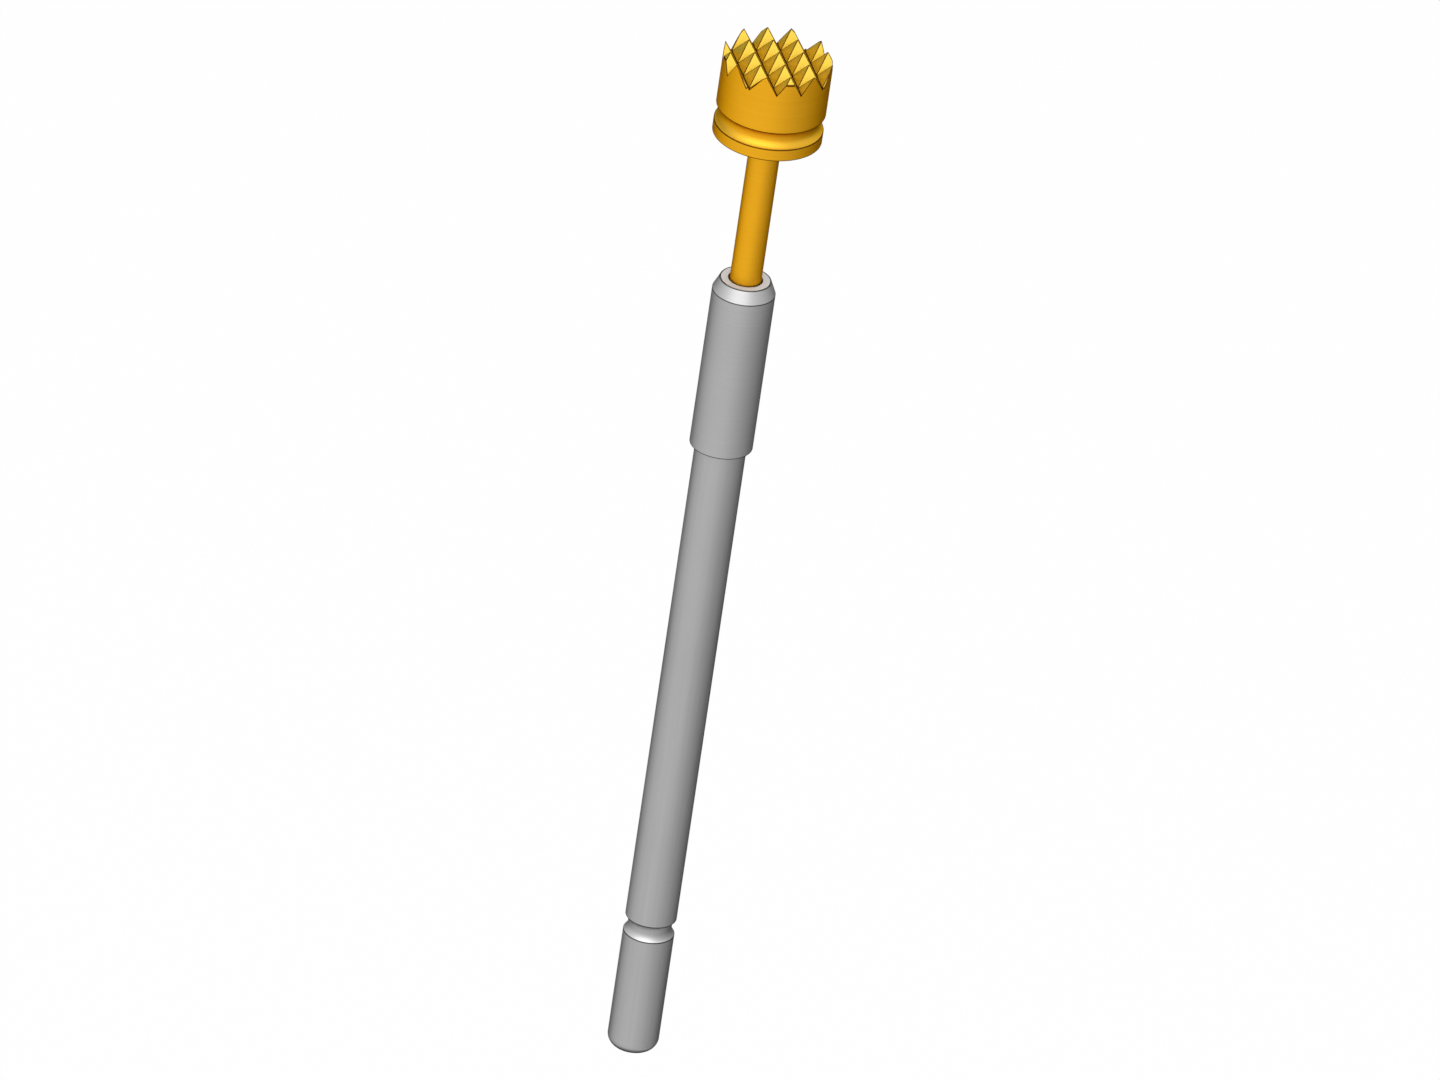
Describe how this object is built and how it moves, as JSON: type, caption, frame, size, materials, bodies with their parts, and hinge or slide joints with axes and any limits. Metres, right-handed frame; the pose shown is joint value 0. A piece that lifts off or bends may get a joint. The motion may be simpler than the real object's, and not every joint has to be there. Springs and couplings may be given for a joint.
{
  "type": "pogo pin",
  "caption": "Spring-loaded contact pin: a gold plunger with a serrated head slides in a closed grey barrel that has a stop collar near its mouth and a rolled groove near its end.",
  "frame": {"origin": "on the pin's axis at the underside of the stop collar, where the bare barrel begins", "axes": "+Z along the axis towards the serrated head; +X and +Y along the two rows of teeth"},
  "size_m": [0.0028, 0.0028, 0.0302],
  "materials": {
    "barrel": "drawn nickel silver tube, satin",
    "stop_collar": "turned nickel silver, satin",
    "plunger": "gold plating on a turned copper alloy",
    "thrust_ball": "polished bearing steel",
    "spring": "silver-plated music wire"
  },
  "bodies": {
    "barrel": {"barrel": "barrel", "stop_collar": "stop_collar", "spring": "spring"},
    "ball": {"thrust_ball": "thrust_ball"},
    "plunger": {"plunger": "plunger"}
  },
  "joints": [
    {"name": "plunger_stroke", "type": "slide", "parent": "barrel", "child": "ball", "axis": [0, 0, -1], "range_m": [0, 0.0043], "stiffness_N_per_m": 360, "springref_m": -0.0011, "deforming": ["spring"]},
    {"name": "plunger_spin", "type": "hinge", "parent": "ball", "child": "plunger", "pos_m": [0, 0, 0.0009], "axis": [0, 0, 1], "continuous": true}
  ]
}
